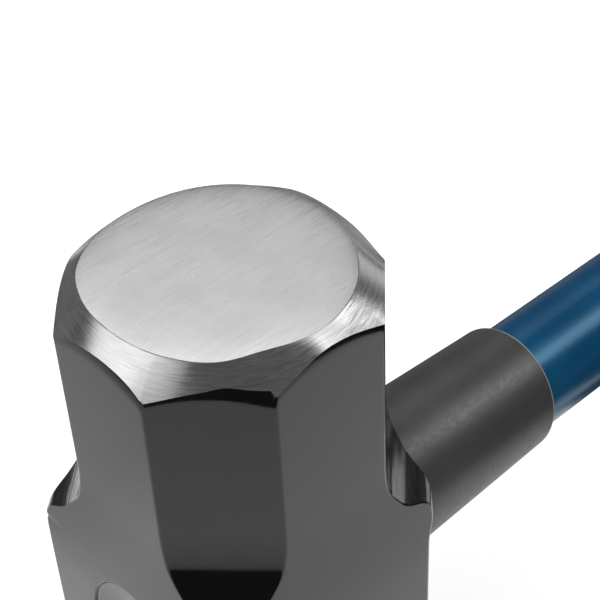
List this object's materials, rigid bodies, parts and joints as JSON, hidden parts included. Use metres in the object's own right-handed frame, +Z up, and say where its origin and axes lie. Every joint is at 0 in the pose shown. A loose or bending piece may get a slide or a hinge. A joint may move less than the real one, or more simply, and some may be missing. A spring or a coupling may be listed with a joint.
{
  "type": "double-faced sledge hammer",
  "caption": "Double-faced octagonal sledge hammer with ground striking faces, a rubber overstrike collar, a blue jacketed fibreglass handle and a rubber grip.",
  "frame": {"origin": "centre of the lower striking face", "axes": "+Z up the head's axis to the upper striking face, +X from the head along the handle to the butt, +Y across the head's narrow width"},
  "size_m": [0.9, 0.0648, 0.184],
  "materials": {
    "forged_head": "forged steel under smooth dark clear-black lacquer, with both striking faces and their bevels ground bright",
    "eye_resin": "cast grey epoxy, slightly dished",
    "seal_rubber": "matte",
    "fibreglass": "pultruded rod, faint lengthwise strands",
    "blue_jacket": "semi-gloss moulded polypropylene",
    "collar_rubber": "satin moulded rubber",
    "grip_rubber": "matte moulded rubber with shallow rings",
    "plug_plastic": "fine moulded texture"
  },
  "bodies": {
    "root": {"head": "forged_head", "eye_resin_fill": "eye_resin", "eye_seal_ring": "seal_rubber", "fibreglass_core": "fibreglass", "handle_jacket": "blue_jacket", "overstrike_collar": "collar_rubber", "hand_grip": "grip_rubber", "butt_plug": "plug_plastic"}
  },
  "joints": []
}
